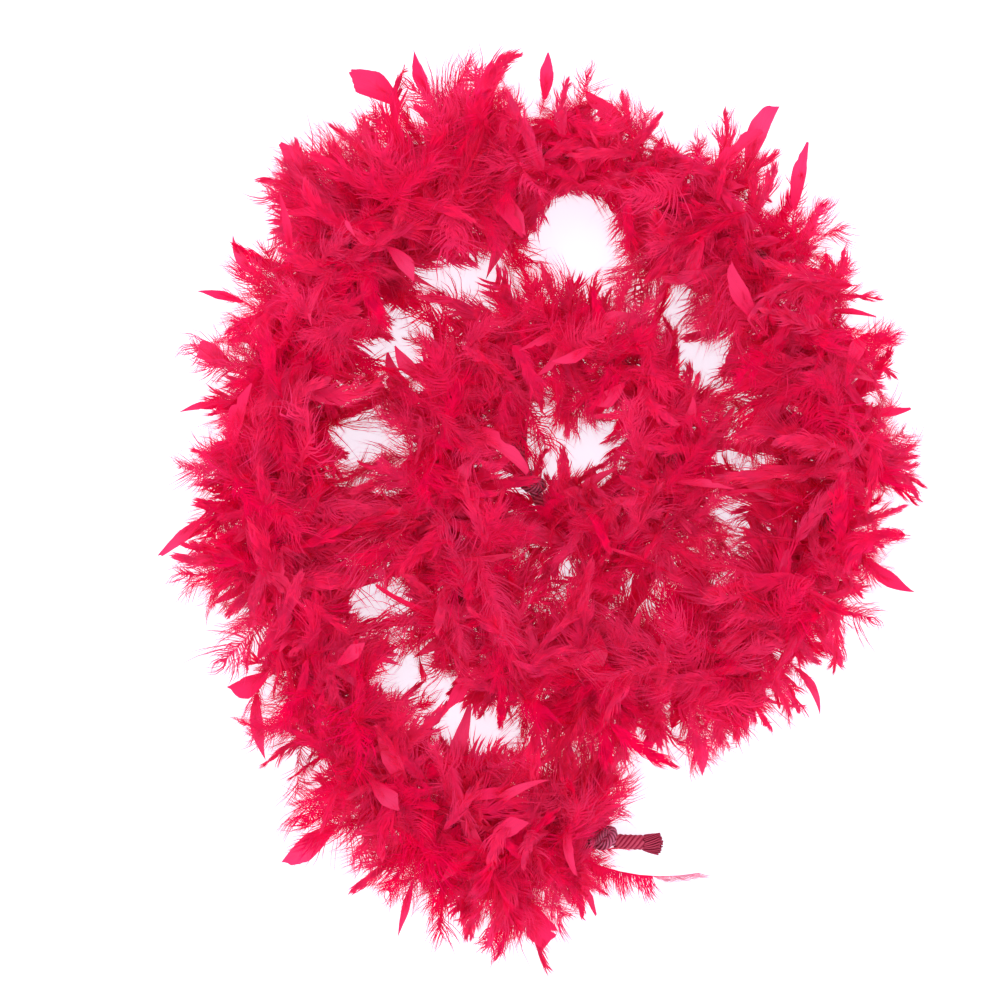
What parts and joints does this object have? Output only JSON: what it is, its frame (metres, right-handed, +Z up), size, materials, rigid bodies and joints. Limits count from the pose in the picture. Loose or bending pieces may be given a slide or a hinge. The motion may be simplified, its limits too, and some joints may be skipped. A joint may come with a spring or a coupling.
{
  "type": "feather boa",
  "caption": "Long fluffy red feather boa on a twisted yarn cord, laid in a loose flat spiral; its outer tail unrolls and its tip lifts.",
  "frame": {"origin": "centre of the whole spiral, on the surface it lies on", "axes": "+Z up, +Y along the longest extent of the spiral, away from the outer end"},
  "size_m": [0.4929, 0.5861, 0.0735],
  "materials": {
    "down_plumage": "dyed turkey down, soft and matt with a faint sheen on the barbs",
    "feather_blade": "dyed flat feather, satin barbs on a pale quill",
    "yarn_cord": "twisted matt yarn, dark in its grooves",
    "knotted_yarn": "twisted yarn pulled into a tight knot",
    "frayed_yarn": "cut yarn strands, sprung open"
  },
  "bodies": {
    "coil": {"cord_coil": "yarn_cord", "plume_01": "down_plumage", "plume_02": "down_plumage", "plume_03": "down_plumage", "plume_04": "down_plumage", "plume_05": "down_plumage", "plume_06": "down_plumage", "plume_07": "down_plumage", "plume_08": "down_plumage", "plume_09": "down_plumage", "plume_10": "down_plumage", "plume_11": "down_plumage", "plume_12": "down_plumage", "plume_13": "down_plumage", "plume_14": "down_plumage", "plume_15": "down_plumage", "plume_16": "down_plumage", "plume_17": "down_plumage", "feather_01": "feather_blade", "feather_02": "feather_blade", "feather_03": "feather_blade", "feather_04": "feather_blade", "feather_05": "feather_blade", "feather_06": "feather_blade", "feather_07": "feather_blade", "feather_08": "feather_blade", "feather_09": "feather_blade", "feather_10": "feather_blade", "feather_11": "feather_blade", "feather_12": "feather_blade", "feather_13": "feather_blade", "feather_14": "feather_blade", "feather_15": "feather_blade", "feather_16": "feather_blade", "inner_knot": "knotted_yarn", "inner_stub": "yarn_cord", "inner_cut_end": "frayed_yarn"},
    "tail_1": {"cord_tail_1": "yarn_cord", "plume_18": "down_plumage", "plume_19": "down_plumage", "feather_17": "feather_blade"},
    "tail_2": {"cord_tail_2": "yarn_cord", "plume_20": "down_plumage", "plume_21": "down_plumage", "feather_18": "feather_blade", "feather_19": "feather_blade"},
    "tail_3": {"cord_tail_3": "yarn_cord", "plume_22": "down_plumage", "plume_23": "down_plumage", "feather_20": "feather_blade"},
    "tip": {"cord_tip": "yarn_cord", "plume_24": "down_plumage", "plume_25": "down_plumage", "feather_21": "feather_blade", "outer_knot": "knotted_yarn", "outer_stub": "yarn_cord", "outer_cut_end": "frayed_yarn"}
  },
  "joints": [
    {"name": "tail_bend_1", "type": "hinge", "parent": "coil", "child": "tail_1", "pos_m": [-0.17168, 0.0196, 0.03], "axis": [0, 0, -1], "range_deg": [0, 40]},
    {"name": "tail_bend_2", "type": "hinge", "parent": "tail_1", "child": "tail_2", "pos_m": [-0.16007, -0.07223, 0.03], "axis": [0, 0, -1], "range_deg": [0, 40]},
    {"name": "tail_bend_3", "type": "hinge", "parent": "tail_2", "child": "tail_3", "pos_m": [-0.12005, -0.15574, 0.03], "axis": [0, 0, -1], "range_deg": [0, 40]},
    {"name": "tip_lift", "type": "hinge", "parent": "tail_3", "child": "tip", "pos_m": [-0.04973, -0.21481, 0.03], "axis": [-0.3935, -0.9193, 0], "range_deg": [0, 45]}
  ]
}
